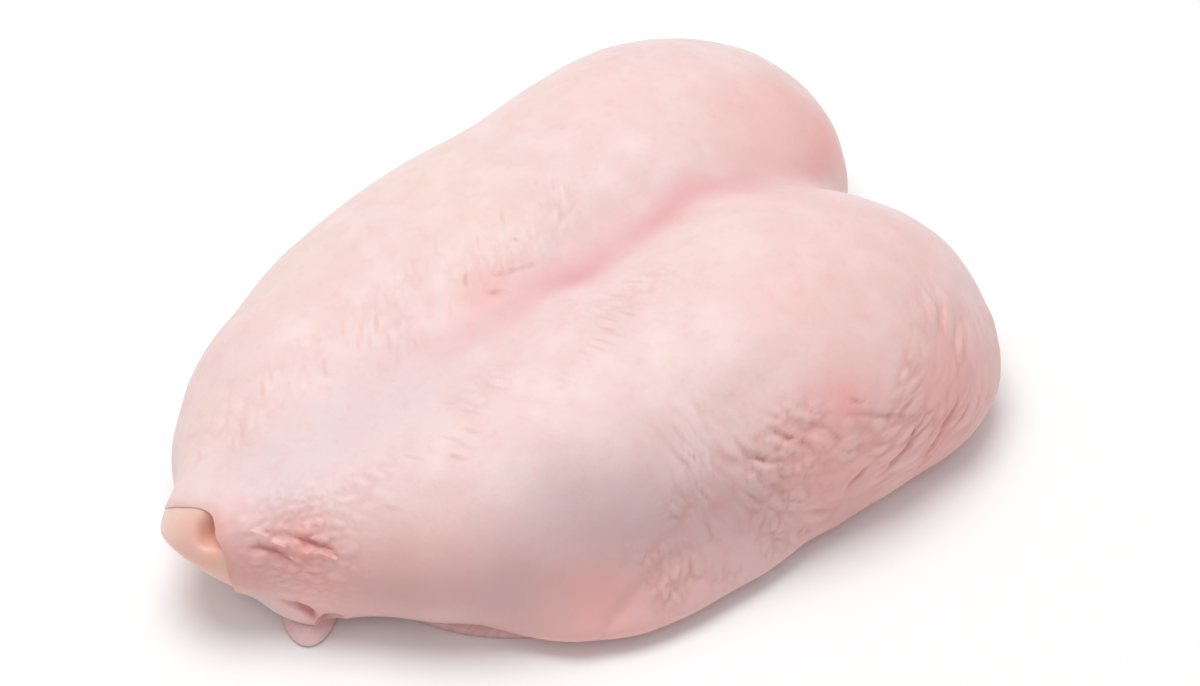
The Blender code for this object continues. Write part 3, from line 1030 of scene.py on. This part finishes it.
# %% The flesh's material
TONGUE_TIP = (-78.0, -27.0, 1.5)
flesh_material, look = new_material("flesh")
flesh_place = look.node("ShaderNodeTexCoord", give="Object")
thread_place = flesh_place.stretched((1.0, 6.0, 1.0))
threads = thread_place.speckle(6.0, 4.0, 0.6)
flesh_colour = threads.between(0.35, 0.65).shade(tone(226, 176, 174), tone(234, 192, 190))
patches = flesh_place.speckle(14.0, 2.0).between(0.45, 0.75)
flesh_colour = (patches * 0.5).shade(flesh_colour, tone(234, 196, 194))
# Painted light: the flesh is painted paler towards the tongue's tip, where it stands out from under the hem.
tongue_tip_light = near_spot(in_own_millimetres(flesh.data), TONGUE_TIP, 6.0)
keep_layer(flesh.data, "tongue_tip_light", tongue_tip_light)
# Painted light on the tongue's tip.
flesh_colour = (look.layer("tongue_tip_light") * 0.7).shade(flesh_colour, tone(247, 214, 214))
finish_material(
    look,
    {
        "Base Color": flesh_colour,
        "Roughness": 0.30 + threads * 0.15,
        "Subsurface Weight": 0.25,
        "Subsurface Radius": (1.0, 0.30, 0.22),
        "Subsurface Scale": 3.0 * MM,
        "Coat Weight": 0.25,
        "Coat Roughness": 0.20,
        "Normal": threads.bump(0.35, 0.4),
    },
)

# %% [markdown]
# The gristle is the warmest colour on the breast: pale and waxy where it stands out. In the dimple beside the
# ridge it is painted a deeper peach, partly its own colour and partly painted shade.

# %% The gristle's material
TIP_HOLLOW = (-87.6, -7.0, 25.2)
gristle_material, look = new_material("gristle")
tip_points = in_own_millimetres(gristle.data)
# Painted shade in the dimple beside the ridge, partly a deeper peach of its own.
keep_layer(gristle.data, "hollow", near_spot(tip_points, TIP_HOLLOW, 5.0))
keep_layer(gristle.data, "fatty", smooth_step(-6.0, 3.0, tip_points[:, 1]))
tip_place = look.node("ShaderNodeTexCoord", give="Object")
waxy = tip_place.speckle(2.5, 3.0)
tip_colour = look.layer("fatty").shade(tone(236, 190, 176), tone(242, 206, 196))
tip_colour = (waxy.between(0.4, 0.7) * 0.3).shade(tip_colour, tone(246, 196, 172))
# A deeper peach in the dimple: partly its own colour, partly painted shade.
tip_colour = (look.layer("hollow") * 0.5).shade(tip_colour, tone(232, 166, 142))
finish_material(
    look,
    {
        "Base Color": tip_colour,
        "Roughness": 0.38 + waxy * 0.12,
        "Subsurface Weight": 0.35,
        "Subsurface Radius": (1.0, 0.45, 0.28),
        "Subsurface Scale": 3.0 * MM,
        "Coat Weight": 0.12,
        "Coat Roughness": 0.22,
        "Normal": waxy.bump(0.25, 0.3),
    },
)

# %% Dress the pieces
PIECES = (
    (skin, skin_material, "breast", "skin"),
    (flesh, flesh_material, "rib_flesh", "flesh"),
    (gristle, gristle_material, "keel_tip", "cartilage"),
)
for piece, material, node, slot in PIECES:
    piece.data.materials.clear()
    piece.data.materials.append(material)
    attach(piece, "root")
    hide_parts(node)

# %% [markdown]
# The breast was photographed on white, under broad light from above and a little from the far side.
# A large soft lamp does that, with an even white world to keep the shadows open. The floor is a plain pale
# sheet, wide enough to fill the view.

# %% Floor and light
FLOOR_REACH = 4
FLOOR_DROP = 0.0002
LAMP_PLACE = Vector((0.0, 0.26, 1.38))
LAMP_AIM = Vector((0.0, 0.0, 0.02))
LAMP_SIZE = 1.0
LAMP_POWER = 12.0
WORLD_STRENGTH = 0.53
floor_mesh = bpy.data.meshes.new("floor")
corners = [(-FLOOR_REACH, -FLOOR_REACH, 0), (FLOOR_REACH, -FLOOR_REACH, 0)]
corners += [(FLOOR_REACH, FLOOR_REACH, 0), (-FLOOR_REACH, FLOOR_REACH, 0)]
floor_mesh.from_pydata(corners, [], [(0, 1, 2, 3)])
floor = place("floor", floor_mesh)
floor_material, look = new_material("floor")
floor_place = look.node("ShaderNodeTexCoord", give="Object")
floor_tone = floor_place.speckle(300.0).shade(tone(250, 250, 250), tone(252, 252, 252))
finish_material(look, {"Base Color": floor_tone, "Roughness": 0.9, "Specular IOR Level": 0.1})
floor.data.materials.append(floor_material)
floor.location.z = -FLOOR_DROP

lamp = bpy.data.lights.new("key_light", "AREA")
lamp.shape = "DISK"
lamp.size = LAMP_SIZE
lamp.energy = LAMP_POWER
key_light = place("key_light", lamp)
key_light.location = LAMP_PLACE
key_light.rotation_euler = (LAMP_AIM - LAMP_PLACE).to_track_quat("-Z", "Y").to_euler()

world = bpy.data.worlds.new("studio")
world.use_nodes = True
background = world.node_tree.nodes["Background"]
background.inputs["Color"].default_value = (1.0, 1.0, 1.0, 1.0)
background.inputs["Strength"].default_value = WORLD_STRENGTH
bpy.context.scene.world = world
bpy.context.scene.view_settings.view_transform = "Standard"

# %% [markdown]
# The camera of the render is the one that the folds were traced through.

# %% Camera
lens = bpy.data.cameras.new("camera")
lens.sensor_width = 36.0
lens.lens = lens.sensor_width * FOCAL_PIXELS / PHOTO_WIDTH
lens.clip_start = 0.01
camera = place("camera", lens)
axes = Matrix(np.stack([camera_right, camera_up, to_camera], axis=1).tolist()).to_4x4()
camera.matrix_world = Matrix.Translation(Vector(to_frame(eye))) @ axes
bpy.context.scene.camera = camera
